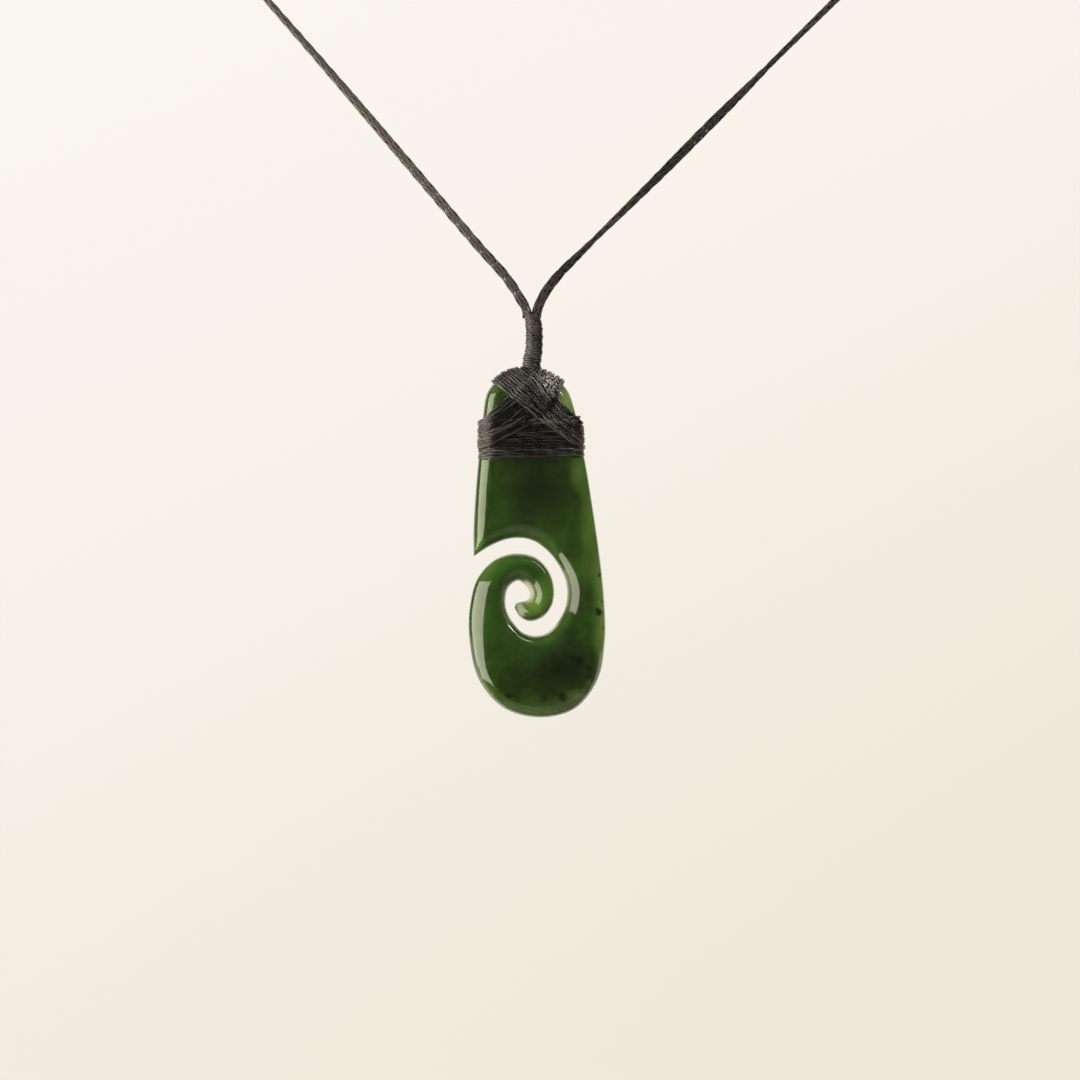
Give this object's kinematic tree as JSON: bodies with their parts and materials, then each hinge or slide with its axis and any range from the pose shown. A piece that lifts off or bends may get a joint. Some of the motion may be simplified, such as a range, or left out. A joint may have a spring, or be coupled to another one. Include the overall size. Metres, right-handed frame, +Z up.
{
  "type": "greenstone koru pendant",
  "caption": "Flat carved greenstone drop with a spiral curl, lashed with waxed thread to a long black braided neck cord.",
  "frame": {"origin": "the middle of the cord at the back of the wearer's neck", "axes": "+Z up; the pendant hangs at -Z and its face looks towards -Y, away from the wearer; +X is to the right of someone who faces the pendant"},
  "size_m": [0.1794, 0.1444, 0.1867],
  "materials": {
    "greenstone": "polished nephrite, slightly translucent at thin edges",
    "waxed_thread": "black waxed thread, wound side by side, with a dull wax sheen",
    "waxed_cord": "black waxed cord, plaited, a slightly flat oval in section"
  },
  "bodies": {
    "root": {"greenstone_drop": "greenstone", "band_lashing": "waxed_thread", "cross_lashing": "waxed_thread", "stem_whipping": "waxed_thread", "cord_left": "waxed_cord", "cord_right": "waxed_cord", "neck_cord": "waxed_cord"}
  },
  "joints": []
}
